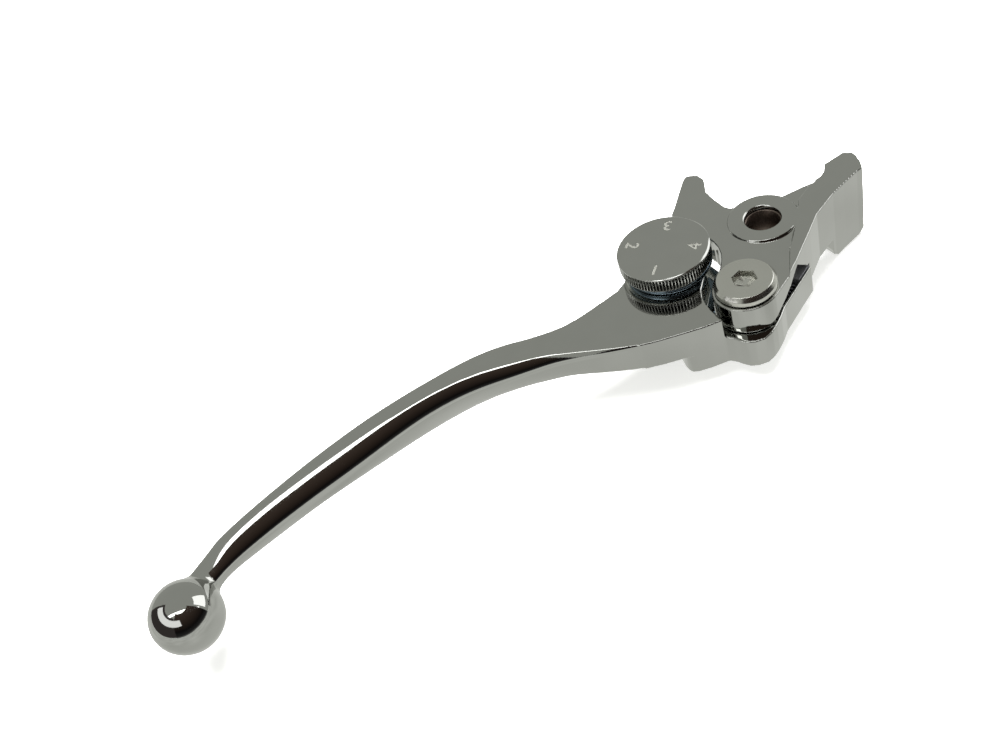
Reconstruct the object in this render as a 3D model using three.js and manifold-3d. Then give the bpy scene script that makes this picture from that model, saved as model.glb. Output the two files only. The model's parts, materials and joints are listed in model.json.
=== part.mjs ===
// Adjustable clutch lever for a motorcycle: a knocker that swings on the perch
// pivot, a lever blade hinged to it, and a four-position reach dial between them.
// Millimetres. +X runs from the ball end to the pivot, +Y points at the handlebar,
// +Z comes out of the dial face. The origin is on the perch pivot axis, at the
// underside of the pivot boss.
import * as THREE from 'three';
import { mergeVertices } from 'three/addons/utils/BufferGeometryUtils.js';
import Module from 'manifold-3d';

const wasm = await Module();
wasm.setup();

// ---- driving dimensions -------------------------------------------------------
const GAP = 0.3; // room between pieces that never rub
const RUNNING = 0.1; // room round a turning shaft and under a guided piece
const CUT = 1; // how far a cutter runs past the face it opens

const PIVOT = { boss: 14, radius: 8.5, bore: 4.8, lip: 4.3, lipDepth: 1.0, edge: 0.25, mouth: 0.5 };
const COLLAR = { inner: 4.0, outer: 4.7 };
const HINGE = { x: -17.4, y: -15, boss: 7.8, bore: 5.1, room: 9.0 };
const DIAL = { x: -24.9, y: 6, radius: 11.3, top: 17.7, under: 13.5, chamfer: 0.45 };
const CAM = { high: 11.4, low: 9.6, top: 13.2, under: 11.7, travel: 270 };
const KNURL = { count: 90, depth: 0.25, low: 13.85, high: 17.05 };
const DIAL_BUSH = { outer: 4.5, bore: 3.1 };
const DOWEL = { x: -19.5, y: 6, radius: 1.0, hole: 1.3, depth: 2 };
const CLIP = { outer: 5.0, halfOpening: 50, thick: 0.6 };
const WASHER = { inner: 3.3, outer: 5.6, thick: 0.6 };

const KNOCKER = { top: 13.3, ledge: 5.9, hookUnder: 4.0 };
const ARM = { top: 14.0, under: 0, lugUnder: -6.6 };
const BLADE = { top: 11.5, under: 3.1, leafTop: 5.6, leafUnder: -2.8, lug: 9.5 };
const BALL = { x: -163, y: -0.9, z: 7, radius: 8.5 };

const BOLT = { head: 7.25, flat: 6.4, top: 16, shank: 4, shoulder: 6.0, thread: 3, tip: -2.1 };
const SOCKET = { across: 5, depth: 1.9 };
const NUT = { across: 10, height: 3.0, pocket: 6.3 };
const SPINDLE = { radius: 3, top: 16.5, tip: 1.0, groove: 2.3, grooveLow: 1.25, grooveHigh: 2.15 };
const DETENT = { reach: 7.0, bearing: 200, hole: 1.8, floor: 4.4, ball: 1.5, ballZ: 10.0 };
const DETENT_SPRING = { coil: 1.15, wire: 0.25, turns: 4, length: 3.1, low: 4.9 };
const GROOVE = { width: 3.2, inset: 2.05, length: 14.2, floor: 2.1 };
const SPRING = { coil: 1.2, wire: 0.28, turns: 7, length: 7.6 };
const PLUNGER = { length: 5.2, width: 2.8, low: 2.4, top: 5.6 };

// ---- finishes -----------------------------------------------------------------
function finish(colour, roughness, metalness) {
  return new THREE.MeshStandardMaterial({ color: colour, roughness, metalness });
}

const chrome = () => finish(0xb9bbb6, 0.08, 1);
const satinNickel = () => finish(0xa3a49c, 0.3, 1);
const blueZinc = () => finish(0x4f6477, 0.3, 1);
const zinc = () => finish(0x9aa1a6, 0.35, 1);
const bronze = () => finish(0x7d6250, 0.4, 1);
const springSteel = () => finish(0x33353a, 0.35, 1);
const blackSteel = () => finish(0x5c5e64, 0.45, 1);

// ---- solids and meshes --------------------------------------------------------
function signedVolume(positions, index) {
  const [a, b, c] = [new THREE.Vector3(), new THREE.Vector3(), new THREE.Vector3()];
  let volume = 0;
  for (let i = 0; i < index.length; i += 3) {
    a.fromArray(positions, index[i] * 3);
    b.fromArray(positions, index[i + 1] * 3);
    c.fromArray(positions, index[i + 2] * 3);
    volume += a.dot(b.cross(c)) / 6;
  }
  return volume;
}

function welded(geometry) {
  const bare = geometry.clone();
  for (const name of Object.keys(bare.attributes)) {
    if (name !== 'position') bare.deleteAttribute(name);
  }
  return mergeVertices(bare, 1e-4);
}

function solid(geometry) {
  const merged = welded(geometry);
  const vertProperties = new Float32Array(merged.attributes.position.array);
  const triVerts = new Uint32Array(merged.index.array);
  if (signedVolume(vertProperties, triVerts) < 0) {
    for (let i = 0; i < triVerts.length; i += 3) {
      [triVerts[i + 1], triVerts[i + 2]] = [triVerts[i + 2], triVerts[i + 1]];
    }
  }
  return new wasm.Manifold(new wasm.Mesh({ numProp: 3, vertProperties, triVerts }));
}

function join(first, ...others) {
  return others.reduce((sum, next) => sum.add(next), first);
}

function cut(first, ...others) {
  return others.reduce((rest, next) => rest.subtract(next), first);
}

function geometryOf(manifold) {
  const mesh = manifold.getMesh();
  const stride = mesh.numProp;
  const positions = new Float32Array((mesh.vertProperties.length / stride) * 3);
  for (let i = 0; i < positions.length / 3; i += 1) {
    positions.set(mesh.vertProperties.subarray(i * stride, i * stride + 3), i * 3);
  }
  const geometry = new THREE.BufferGeometry();
  geometry.setAttribute('position', new THREE.BufferAttribute(positions, 3));
  geometry.setIndex(new THREE.BufferAttribute(new Uint32Array(mesh.triVerts), 1));
  return geometry;
}

const model = new THREE.Group();
model.name = 'clutch_lever';

function addPart(name, manifold, material) {
  const geometry = geometryOf(manifold).toNonIndexed();
  geometry.computeVertexNormals();
  const mesh = new THREE.Mesh(geometry, material);
  mesh.name = name;
  model.add(mesh);
}

// ---- shape helpers ------------------------------------------------------------
function radians(degrees) {
  return THREE.MathUtils.degToRad(degrees);
}

function outline(points) {
  return new THREE.Shape(points.map(([x, y]) => new THREE.Vector2(x, y)));
}

function arcPoints(centre, radius, from, to, steps) {
  const points = [];
  for (let i = 0; i <= steps; i += 1) {
    const angle = radians(from + ((to - from) * i) / steps);
    points.push([centre[0] + radius * Math.cos(angle), centre[1] + radius * Math.sin(angle)]);
  }
  return points;
}

function slab(shape, low, high) {
  const geometry = new THREE.ExtrudeGeometry(shape, { depth: high - low, bevelEnabled: false });
  return solid(geometry.translate(0, 0, low));
}

function turned(profile, x = 0, y = 0, segments = 48) {
  const points = profile.map(([radius, z]) => new THREE.Vector2(radius, z));
  const geometry = new THREE.LatheGeometry(points, segments);
  return solid(geometry.rotateX(Math.PI / 2).translate(x, y, 0));
}

function disc(radius, low, high, x = 0, y = 0, segments = 48) {
  return turned([[0, low], [radius, low], [radius, high], [0, high]], x, y, segments);
}

function tube(inner, outer, low, high, x = 0, y = 0, segments = 48) {
  const profile = [[inner, low], [outer, low], [outer, high], [inner, high], [inner, low]];
  return turned(profile, x, y, segments);
}

function box(low, high) {
  const size = [0, 1, 2].map((axis) => high[axis] - low[axis]);
  const middle = [0, 1, 2].map((axis) => (high[axis] + low[axis]) / 2);
  return new THREE.BoxGeometry(...size).translate(...middle);
}

function hexagon(across, low, high, x, y) {
  return disc(across / Math.sqrt(3), low, high, x, y, 6);
}

// Closed skin through a row of sections that all have the same number of points.
function loft(sections) {
  const count = sections[0].length;
  const positions = sections.flat(2);
  const index = [];
  for (let row = 0; row < sections.length - 1; row += 1) {
    for (let i = 0; i < count; i += 1) {
      const [a, b] = [row * count + i, row * count + ((i + 1) % count)];
      index.push(a, b, a + count, b, b + count, a + count);
    }
  }
  const last = (sections.length - 1) * count;
  for (let i = 1; i < count - 1; i += 1) {
    index.push(0, i + 1, i);
    index.push(last, last + i, last + i + 1);
  }
  const geometry = new THREE.BufferGeometry();
  geometry.setAttribute('position', new THREE.Float32BufferAttribute(positions, 3));
  geometry.setIndex(index);
  return solid(geometry);
}

// ---- perch pivot collar -------------------------------------------------------
// The perch bolt clamps this sleeve, and the knocker turns on it.
function pivotCollar() {
  return tube(COLLAR.inner, COLLAR.outer, 0, PIVOT.boss - PIVOT.lipDepth - GAP);
}

// ---- knocker ------------------------------------------------------------------
const HOOK = [
  [-12.9, 9], [-13.1, 13], [-14.1, 16], [-13.9, 18.6], [-11.8, 20.3], [-6.1, 25.4], [-3.4, 27.7],
  [-2.1, 28.2], [-0.9, 27.3], [0.1, 26.1], [0.1, 23.6], [-1.3, 21.3], [-2.6, 19.3], [-3.1, 15],
  [-3.2, 11], [-2.6, 9.4],
];
const ARM_BACK = [
  [10.7, 2.7], [14.8, 1.9], [17.2, 1.1], [19, 1.2], [20.6, 1.9], [22.7, 4.0], [28.4, 3.8], [29.8, 2.0],
  [29.6, 0.6], [28.6, -2.0], [27.3, -4.1],
];
const ARM_FRONT = [
  [25.4, -4.2], [20.4, -5.2], [16.2, -6.2], [8.9, -8.9], [4.0, -12.1], [-0.5, -14.9], [-4.4, -17.4],
  [-8.4, -19.6],
];
const RIB = [
  [14.4, 0.4], [9.7, -1.5], [7.4, -4.4], [2.7, -8.5], [-3, -13.3], [-7.2, -18.2],
];
const CAM_EDGE = [[-18.6, -6.7], [-17.5, -5.7], [-16, -4.2], [-14.4, -2.1], [-13.3, 0.5], [-12.9, 3]];

function knockerOutline() {
  const ring = arcPoints([0, 0], PIVOT.radius, 98, 20, 8);
  const boss = arcPoints([HINGE.x, HINGE.y], HINGE.boss, -62, -258, 22);
  return outline([...HOOK, ...ring, ...ARM_BACK, ...ARM_FRONT, ...boss, ...CAM_EDGE]);
}

const ARM_ROOT = [[0, -8], [0, 0], [8, 3.2]];

function arm() {
  const shape = outline([...ARM_ROOT, ...ARM_BACK, ...ARM_FRONT.slice(0, 6)]);
  return slab(shape, ARM.under, KNOCKER.top);
}

// Raised flat along the arm and down the front edge.
function armRib() {
  const edge = [[16.6, 0.7], ...ARM_BACK.slice(2), ...ARM_FRONT];
  return slab(outline([...edge, ...RIB.toReversed()]), KNOCKER.top - CUT, ARM.top);
}

// Stop lug that hangs from the end of the arm, drawn in the XZ plane.
function stopLug() {
  const profile = outline([
    [15.0, CUT], [14.8, -3.2], [15.4, -5.2], [17, ARM.lugUnder], [25.6, ARM.lugUnder], [27.1, -5.2],
    [27.3, CUT],
  ]);
  const geometry = new THREE.ExtrudeGeometry(profile, { depth: 12, bevelEnabled: false });
  geometry.rotateX(Math.PI / 2).translate(0, 4, 0);
  const footprint = outline([...ARM_BACK, ...ARM_FRONT.slice(0, 4)]);
  return solid(geometry).intersect(slab(footprint, ARM.lugUnder - CUT, 2 * CUT));
}

// Room under the knocker for the blade's lower leaf at both ends of the reach travel.
const LEAF_ROOM = [
  [-30, 10], [-11.5, 10], [-11.5, -4.6], [-11.3, -6.3], [-8.5, -8.2], [-4.4, -8.85], [0.25, -8.7],
  [2.3, -14], [3.2, -16.5], [3, -30], [-40, -30],
];

// Frame of the leaf's tongue: t runs along its outer edge from the free end.
const TONGUE = { x: 1.9, y: -14.3, bearing: 23.6 };

function alongTongue(geometry) {
  return solid(geometry.rotateZ(radians(TONGUE.bearing)).translate(TONGUE.x, TONGUE.y, 0));
}

// Sloping hollow in the knocker's front wall, over the spring and its plunger.
function springRoof() {
  const floor = KNOCKER.ledge - CUT;
  const profile = outline([
    [-21, floor], [-21, KNOCKER.ledge], [-17.5, 7.4], [-14.4, 8.5], [-7, 12.4], [-0.5, KNOCKER.ledge],
    [-0.5, floor],
  ]);
  const geometry = new THREE.ExtrudeGeometry(profile, { depth: 7, bevelEnabled: false });
  return alongTongue(geometry.rotateX(Math.PI / 2).translate(0, 3.2, 0));
}

function pivotBoss() {
  const { radius, boss, edge } = PIVOT;
  return turned([[0, 0], [radius, 0], [radius, boss - edge], [radius - edge, boss], [0, boss]]);
}

// Bore for the collar, narrowed by a lip at its top and eased at its mouth.
function pivotBore() {
  const { bore, lip, lipDepth, boss, mouth } = PIVOT;
  const over = 0.1;
  return turned([
    [0, -CUT], [bore, -CUT], [bore, boss - lipDepth], [lip, boss - lipDepth], [lip, boss - mouth + over],
    [lip + mouth, boss + over], [0, boss + over],
  ]);
}

function knocker() {
  const upper = slab(knockerOutline(), KNOCKER.hookUnder, KNOCKER.top);
  const body = join(upper, arm(), pivotBoss(), armRib(), stopLug());
  const leafRoom = slab(outline(LEAF_ROOM), -CUT * 2, KNOCKER.ledge);
  const hingeBore = disc(HINGE.bore, 0, KNOCKER.top + CUT, HINGE.x, HINGE.y);
  return cut(body, pivotBore(), leafRoom, hingeBore, springRoof());
}

// ---- lever blade --------------------------------------------------------------
// One row per station: x, front y, back y, top z, height of the rounded front corner,
// and its depth. Beyond the plate the section is symmetric about the ball's height.
const STATIONS = [
  [-47.0, -9.5, 7.7, 11.5, 0.3, 0.2],
  [-51.0, -7.0, 7.6, 11.5, 1.3, 0.8],
  [-55.0, -4.2, 7.9, 11.5, 2.1, 1.3],
  [-60.5, -0.4, 9.8, 11.5, 3.0, 1.9],
  [-65.0, 2.0, 12.2, 11.6, 3.7, 2.6],
  [-70.0, 3.9, 14.4, 11.7, 4.2, 3.2],
  [-76.0, 6.1, 15.7, 12.0, 5.0, 3.3],
  [-82.0, 7.8, 16.2, 12.3, 5.4, 3.2],
  [-90.0, 8.8, 16.5, 12.6, 5.7, 3.1],
  [-100.0, 9.0, 16.8, 12.7, 5.8, 3.6],
  [-110.0, 8.1, 16.3, 12.8, 5.8, 4.3],
  [-120.0, 7.8, 15.3, 12.7, 5.7, 5.1],
  [-130.0, 7.0, 13.9, 12.6, 5.6, 5.3],
  [-140.0, 5.7, 12.2, 12.3, 5.3, 5.2],
  [-147.0, 4.6, 11.0, 11.8, 4.8, 5.0],
  [-151.0, 3.7, 10.1, 11.2, 4.2, 4.6],
  [-154.0, 2.0, 9.2, 10.7, 3.7, 4.2],
  [-157.0, -0.6, 7.6, 10.8, 3.8, 4.2],
  [-160.0, -2.6, 5.6, 11.0, 4.0, 4.2],
];

const GRIP = { plateEnd: -62, opening: 60, steps: 4, round: 0.8 };

function bladeSection([x, front, back, top, tall, deep]) {
  const bottom = x < GRIP.plateEnd ? 2 * BALL.z - top : BLADE.under;
  const opening = radians(GRIP.opening);
  const arc = [];
  for (let i = 0; i <= GRIP.steps; i += 1) {
    const angle = opening * (1 - i / GRIP.steps);
    const rise = (tall * Math.sin(angle)) / Math.sin(opening);
    const inset = (deep * (1 - Math.cos(angle))) / (1 - Math.cos(opening));
    arc.push([inset, rise]);
  }
  const upper = arc.map(([inset, rise]) => [x, front + inset, top - tall + rise]);
  const lower = [...arc].reverse().map(([inset, rise]) => [x, front + inset, bottom + tall - rise]);
  const round = Math.min(tall / 2, GRIP.round);
  return [
    [x, back - round, top], ...upper, ...lower, [x, back - round, bottom],
    [x, back - round * 0.3, bottom + round * 0.3], [x, back, bottom + round],
    [x, back, top - round], [x, back - round * 0.3, top - round * 0.3],
  ];
}

const PLATE_FRONT = [
  [-26.8, -18.1], [-31, -16.9], [-36, -14.9], [-41, -12.8], [-45.8, -10.4], [-47.6, -9.2],
];
const PLATE_BACK = [[-47.6, 7.7], [-43.4, 7.8], [-38.5, 8.1], [-35.6, 9.3], [-33.6, 10.9]];
const RECESS = [
  [-18, 12.5], [-18, 1.5], [-20.4, -3.2], [-22.1, -4.9], [-24.1, -6.8], [-25.5, -9.1], [-26.2, -11.3],
  [-26.5, -14.2],
];

function plateOutline() {
  const lug = arcPoints([DIAL.x, DIAL.y], BLADE.lug, 148, 48, 10);
  return outline([...PLATE_FRONT, ...PLATE_BACK, ...lug, ...RECESS]);
}

// Lower leaf that passes under the knocker and carries the hinge bolt.
const LEAF = [
  [1.9, -14.3], [-2.8, -16.4], [-7.1, -18.4], [-11.2, -20.3], [-13.8, -22.1], [-16.3, -23.5],
  [-18.4, -24.4], [-20.6, -24.8], [-22.9, -24], [-24.4, -22.8], [-25.2, -21.3], [-25.8, -19.7],
  [-26.8, -18.1], [-31, -16.9], [-34, -15.7], [-35.2, -14.8], [-35.5, -13.8], [-35.4, -12.3],
  [-34, -7], [-28.5, -3.5], [-22.5, -1.5], [-18.4, 1.2], [-18.2, 8], [-14.3, 8], [-14.3, -4],
  [-11.7, -7.2], [-8.9, -9], [-4.6, -9.6], [-0.2, -9.4],
];

// Open groove along the tongue for the spring and plunger.
function tongueGroove() {
  const { width, inset, length, floor } = GROOVE;
  const high = BLADE.leafTop + CUT;
  return alongTongue(box([-length, inset - width / 2, floor], [CUT, inset + width / 2, high]));
}

function detentPlace() {
  const angle = radians(DETENT.bearing);
  return [DIAL.x + DETENT.reach * Math.cos(angle), DIAL.y + DETENT.reach * Math.sin(angle)];
}

function ballEnd() {
  const geometry = new THREE.SphereGeometry(BALL.radius, 32, 20);
  return solid(geometry.rotateX(Math.PI / 2).translate(BALL.x, BALL.y, BALL.z));
}

function blade() {
  const grip = loft(STATIONS.map(bladeSection));
  const plate = slab(plateOutline(), BLADE.under, BLADE.top);
  const leaf = slab(outline(LEAF), BLADE.leafUnder, BLADE.leafTop);
  const body = join(plate, leaf, grip, ballEnd());
  const { leafUnder, leafTop } = BLADE;
  const bossRoom = disc(HINGE.room, leafTop, BLADE.top + CUT, HINGE.x, HINGE.y);
  const boltHole = disc(BOLT.thread + RUNNING, leafUnder - CUT, leafTop + CUT, HINGE.x, HINGE.y, 32);
  const nutPocket = disc(NUT.pocket, leafUnder - CUT, leafUnder + NUT.height + GAP, HINGE.x, HINGE.y, 32);
  const bushHole = disc(DIAL_BUSH.outer + RUNNING, BLADE.under - CUT, BLADE.top + CUT, DIAL.x, DIAL.y);
  const [detentX, detentY] = detentPlace();
  const detentHole = disc(DETENT.hole, DETENT.floor, BLADE.top + CUT, detentX, detentY, 24);
  return cut(body, bossRoom, boltHole, nutPocket, tongueGroove(), bushHole, detentHole);
}

// ---- hinge between knocker and blade --------------------------------------------
function hingeBolt() {
  const { thread, tip, shank, shoulder, head, flat, top } = BOLT;
  const under = KNOCKER.top + GAP;
  const profile = [
    [0, tip], [thread - 0.5, tip], [thread, tip + 0.5], [thread, shoulder], [shank, shoulder],
    [shank, under], [head - 0.2, under], [head, under + 0.4], [head, top - 1.0], [flat, top], [0, top],
  ];
  const body = turned(profile, HINGE.x, HINGE.y);
  return cut(body, hexagon(SOCKET.across, top - SOCKET.depth, top + CUT, HINGE.x, HINGE.y));
}

function hingeBush() {
  const { ledge, top } = KNOCKER;
  return tube(BOLT.shank + RUNNING, HINGE.bore - RUNNING, ledge + RUNNING, top - RUNNING, HINGE.x, HINGE.y);
}

function hingeNut() {
  const low = BLADE.leafUnder + RUNNING;
  const body = hexagon(NUT.across, low, low + NUT.height, HINGE.x, HINGE.y);
  return cut(body, disc(BOLT.thread + RUNNING, low - CUT, low + NUT.height + CUT, HINGE.x, HINGE.y, 32));
}

// Coil spring lying in the tongue's groove: it keeps the cam pressed on the knocker.
class ReachCoil extends THREE.Curve {
  getPoint(t, target = new THREE.Vector3()) {
    const angle = t * SPRING.turns * 2 * Math.PI;
    const along = t * SPRING.length - GROOVE.length + 2 * SPRING.wire;
    const middle = GROOVE.floor + SPRING.coil + SPRING.wire + RUNNING;
    const [across, up] = [SPRING.coil * Math.cos(angle), SPRING.coil * Math.sin(angle)];
    return target.set(along, GROOVE.inset + across, middle + up);
  }
}

function wireSection(radius, sides) {
  return outline(arcPoints([0, 0], radius, 0, 360 - 360 / sides, sides - 1));
}

function reachSpring() {
  const options = { steps: 84, extrudePath: new ReachCoil(), bevelEnabled: false };
  return alongTongue(new THREE.ExtrudeGeometry(wireSection(SPRING.wire, 6), options));
}

function springPlunger() {
  const { length, width, low, top } = PLUNGER;
  return alongTongue(box([-length, GROOVE.inset - width / 2, low], [0, GROOVE.inset + width / 2, top]));
}

// ---- reach dial ---------------------------------------------------------------
// Straight knurl round the cap's rim, with plain lands above and below it.
function knurledBand() {
  const rim = [];
  for (let i = 0; i < 2 * KNURL.count; i += 1) {
    const angle = (i * Math.PI) / KNURL.count;
    const radius = i % 2 === 0 ? DIAL.radius : DIAL.radius - KNURL.depth;
    rim.push([DIAL.x + radius * Math.cos(angle), DIAL.y + radius * Math.sin(angle)]);
  }
  return slab(outline(rim), KNURL.low, KNURL.high);
}

function dialCap() {
  const { radius, under, top, chamfer } = DIAL;
  const land = radius - KNURL.depth / 2;
  const lower = turned([
    [0, under], [land - chamfer / 2, under], [land, under + chamfer / 2], [land, KNURL.low], [0, KNURL.low],
  ], DIAL.x, DIAL.y, KNURL.count);
  const upper = turned([
    [0, KNURL.high], [radius, KNURL.high], [radius, top - chamfer], [radius - chamfer, top], [0, top],
  ], DIAL.x, DIAL.y, KNURL.count);
  const cap = join(lower, knurledBand(), upper);
  const spindleSocket = disc(SPINDLE.radius + GAP, DIAL.under - CUT, SPINDLE.top + GAP, DIAL.x, DIAL.y);
  const dowelHole = disc(DOWEL.hole, DIAL.under - CUT, DIAL.under + DOWEL.depth, DOWEL.x, DOWEL.y, 20);
  return cut(cap, spindleSocket, dowelHole);
}

// Snail cam: full radius faces the knocker in position 1, and the radius falls as
// the dial turns anticlockwise to position 4.
function camRadius(bearing) {
  const turn = (360 - bearing) % 360;
  const drop = CAM.high - CAM.low;
  if (turn <= CAM.travel) return CAM.high - (drop * turn) / CAM.travel;
  return CAM.low + (drop * (turn - CAM.travel)) / (360 - CAM.travel);
}

function dialCam() {
  const rim = [];
  for (let bearing = 0; bearing < 360; bearing += 4) {
    const angle = radians(bearing);
    const radius = camRadius(bearing);
    rim.push([DIAL.x + radius * Math.cos(angle), DIAL.y + radius * Math.sin(angle)]);
  }
  const plate = slab(outline(rim), CAM.under, CAM.top);
  const spindleHole = disc(SPINDLE.radius + GAP, CAM.under - CUT, CAM.top + CUT, DIAL.x, DIAL.y);
  const dowelHole = disc(DOWEL.hole, CAM.under - CUT, CAM.top + CUT, DOWEL.x, DOWEL.y, 20);
  return cut(plate, spindleHole, dowelHole);
}

function dialDowel() {
  return disc(DOWEL.radius, CAM.under + GAP, DIAL.under + DOWEL.depth - GAP, DOWEL.x, DOWEL.y, 20);
}

function dialSpindle() {
  const { radius, top, tip, groove, grooveLow, grooveHigh } = SPINDLE;
  const end = radius - 0.4;
  const profile = [
    [0, tip], [end, tip], [end, grooveLow], [groove, grooveLow], [groove, grooveHigh], [radius, grooveHigh],
    [radius, top], [0, top],
  ];
  return turned(profile, DIAL.x, DIAL.y, 32);
}

function dialBush() {
  return tube(DIAL_BUSH.bore, DIAL_BUSH.outer, BLADE.under, BLADE.top - RUNNING, DIAL.x, DIAL.y, 32);
}

function dialClip() {
  const { outer, halfOpening, thick } = CLIP;
  const span = 180 - halfOpening;
  const rim = arcPoints([DIAL.x, DIAL.y], outer, -span, span, 20);
  const seat = arcPoints([DIAL.x, DIAL.y], SPINDLE.groove + RUNNING, span, -span, 14);
  const low = (SPINDLE.grooveLow + SPINDLE.grooveHigh - thick) / 2;
  return slab(outline([...rim, ...seat]), low, low + thick);
}

function dialSpringWasher() {
  const high = BLADE.under - RUNNING;
  return tube(WASHER.inner, WASHER.outer, high - WASHER.thick, high, DIAL.x, DIAL.y, 32);
}

// ---- click detent ---------------------------------------------------------------
function detentBall() {
  const [x, y] = detentPlace();
  const geometry = new THREE.SphereGeometry(DETENT.ball, 20, 12);
  return solid(geometry.rotateX(Math.PI / 2).translate(x, y, DETENT.ballZ));
}

class DetentCoil extends THREE.Curve {
  getPoint(t, target = new THREE.Vector3()) {
    const [x, y] = detentPlace();
    const { coil, turns, low, length } = DETENT_SPRING;
    const angle = t * turns * 2 * Math.PI;
    return target.set(x + coil * Math.cos(angle), y + coil * Math.sin(angle), low + t * length);
  }
}

function detentSpring() {
  const options = { steps: 64, extrudePath: new DetentCoil(), bevelEnabled: false };
  return solid(new THREE.ExtrudeGeometry(wireSection(DETENT_SPRING.wire, 6), options));
}

// ---- assembly -----------------------------------------------------------------
addPart('pivot_collar', pivotCollar(), bronze());
addPart('knocker', knocker(), chrome());
addPart('hinge_bush', hingeBush(), bronze());
addPart('blade', blade(), chrome());
addPart('hinge_bolt', hingeBolt(), satinNickel());
addPart('hinge_nut', hingeNut(), zinc());
addPart('reach_spring', reachSpring(), springSteel());
addPart('spring_plunger', springPlunger(), blackSteel());
addPart('dial_cap', dialCap(), chrome());
addPart('dial_cam', dialCam(), blueZinc());
addPart('dial_dowel', dialDowel(), zinc());
addPart('dial_spindle', dialSpindle(), blueZinc());
addPart('dial_bush', dialBush(), bronze());
addPart('dial_clip', dialClip(), springSteel());
addPart('dial_spring_washer', dialSpringWasher(), springSteel());
addPart('detent_ball', detentBall(), zinc());
addPart('detent_spring', detentSpring(), springSteel());

export default model;
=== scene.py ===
"""Looks of the clutch lever: polished castings, turned dial and bolt, on a pale floor.

Metres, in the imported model's frame. +X runs from the ball end to the pivot, +Y points
at the handlebar and +Z comes out of the dial's face.
"""

import json
import math

import bmesh
import bpy
from mathutils import Matrix, Vector


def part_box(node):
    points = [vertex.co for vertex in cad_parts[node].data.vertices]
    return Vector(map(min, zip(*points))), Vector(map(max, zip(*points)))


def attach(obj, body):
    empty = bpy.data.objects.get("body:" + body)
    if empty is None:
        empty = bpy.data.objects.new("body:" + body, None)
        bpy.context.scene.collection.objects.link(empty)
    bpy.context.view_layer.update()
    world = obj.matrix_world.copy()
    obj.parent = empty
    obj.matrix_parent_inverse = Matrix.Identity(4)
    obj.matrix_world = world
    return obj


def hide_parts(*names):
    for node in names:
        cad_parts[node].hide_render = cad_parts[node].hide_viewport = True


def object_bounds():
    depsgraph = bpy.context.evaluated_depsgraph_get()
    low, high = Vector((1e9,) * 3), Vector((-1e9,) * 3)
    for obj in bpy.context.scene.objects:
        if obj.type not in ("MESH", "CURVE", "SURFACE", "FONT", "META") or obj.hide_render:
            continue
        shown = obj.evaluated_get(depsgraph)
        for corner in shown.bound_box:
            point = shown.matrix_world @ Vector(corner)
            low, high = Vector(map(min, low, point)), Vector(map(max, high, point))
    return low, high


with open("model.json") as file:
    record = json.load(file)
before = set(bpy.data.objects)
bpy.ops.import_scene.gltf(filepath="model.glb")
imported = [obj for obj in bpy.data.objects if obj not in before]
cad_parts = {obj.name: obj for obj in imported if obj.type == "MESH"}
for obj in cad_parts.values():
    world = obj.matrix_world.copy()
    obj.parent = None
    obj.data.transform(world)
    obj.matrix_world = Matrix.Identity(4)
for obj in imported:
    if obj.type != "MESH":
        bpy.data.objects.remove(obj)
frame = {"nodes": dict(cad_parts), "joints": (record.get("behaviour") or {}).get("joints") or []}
cad_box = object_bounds()

MM = 0.001
NODES = frame["nodes"]
JOINTS = {joint["name"]: joint for joint in frame["joints"]}
DIAL_X, DIAL_Y = JOINTS["dial_turn"]["pos_m"][:2]
HINGE_X, HINGE_Y = JOINTS["reach_hinge"]["pos_m"][:2]
KNURLS = 90


# ---- mesh helpers ---------------------------------------------------------------
def new_object(name, mesh):
    made = bpy.data.objects.new(name, mesh)
    bpy.context.scene.collection.objects.link(made)
    return made


def object_from(name, bm, smooth=True):
    bmesh.ops.recalc_face_normals(bm, faces=bm.faces)
    mesh = bpy.data.meshes.new(name)
    bm.to_mesh(mesh)
    bm.free()
    for face in mesh.polygons:
        face.use_smooth = smooth
    return new_object(name, mesh)


def is_level(face):
    return abs(face.normal.z) >= 0.999


def flatten_ends(made):
    """Flat shading where a face is level, so that the rim's curve doesn't bend it."""
    for face in made.data.polygons:
        face.use_smooth = not is_level(face)


def apply_modifiers(made):
    graph = bpy.context.evaluated_depsgraph_get()
    mesh = bpy.data.meshes.new_from_object(made.evaluated_get(graph), depsgraph=graph)
    made.modifiers.clear()
    made.data = mesh
    return made


def boolean(made, cutter, operation="DIFFERENCE", crossing=False):
    step = made.modifiers.new("cut", "BOOLEAN")
    step.operation = operation
    step.solver = "EXACT"
    step.use_self = crossing
    step.object = cutter
    apply_modifiers(made)
    bpy.data.objects.remove(cutter)
    return made


def soften(made, width, segments=2, angle=35):
    """Rounds the sharp edges and keeps the flats flat in the shading."""
    bevel = made.modifiers.new("edges", "BEVEL")
    bevel.width = width
    bevel.segments = segments
    bevel.limit_method = "ANGLE"
    bevel.angle_limit = math.radians(angle)
    bevel.harden_normals = True
    return apply_modifiers(made)


def add_rings(bm, rings):
    """Skins a row of rings with equal counts and closes both ends."""
    rows = [[bm.verts.new(point) for point in ring] for ring in rings]
    count = len(rows[0])
    for lower, upper in zip(rows, rows[1:]):
        for i in range(count):
            j = (i + 1) % count
            bm.faces.new((lower[i], lower[j], upper[j], upper[i]))
    bm.faces.new(list(reversed(rows[0])))
    bm.faces.new(rows[-1])


def turned(name, profile, x, y, segments=96, radius_at=None):
    """A closed turning about a vertical axis. profile is (radius, z) in metres from the
    bottom up; radius_at(radius, z, angle) may shape the rim."""
    bm = bmesh.new()
    rings = []
    for radius, z in profile:
        ring = []
        for i in range(segments):
            angle = 2 * math.pi * i / segments
            r = radius_at(radius, z, angle) if radius_at else radius
            ring.append((x + r * math.cos(angle), y + r * math.sin(angle), z))
        rings.append(ring)
    add_rings(bm, rings)
    return object_from(name, bm)


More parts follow.
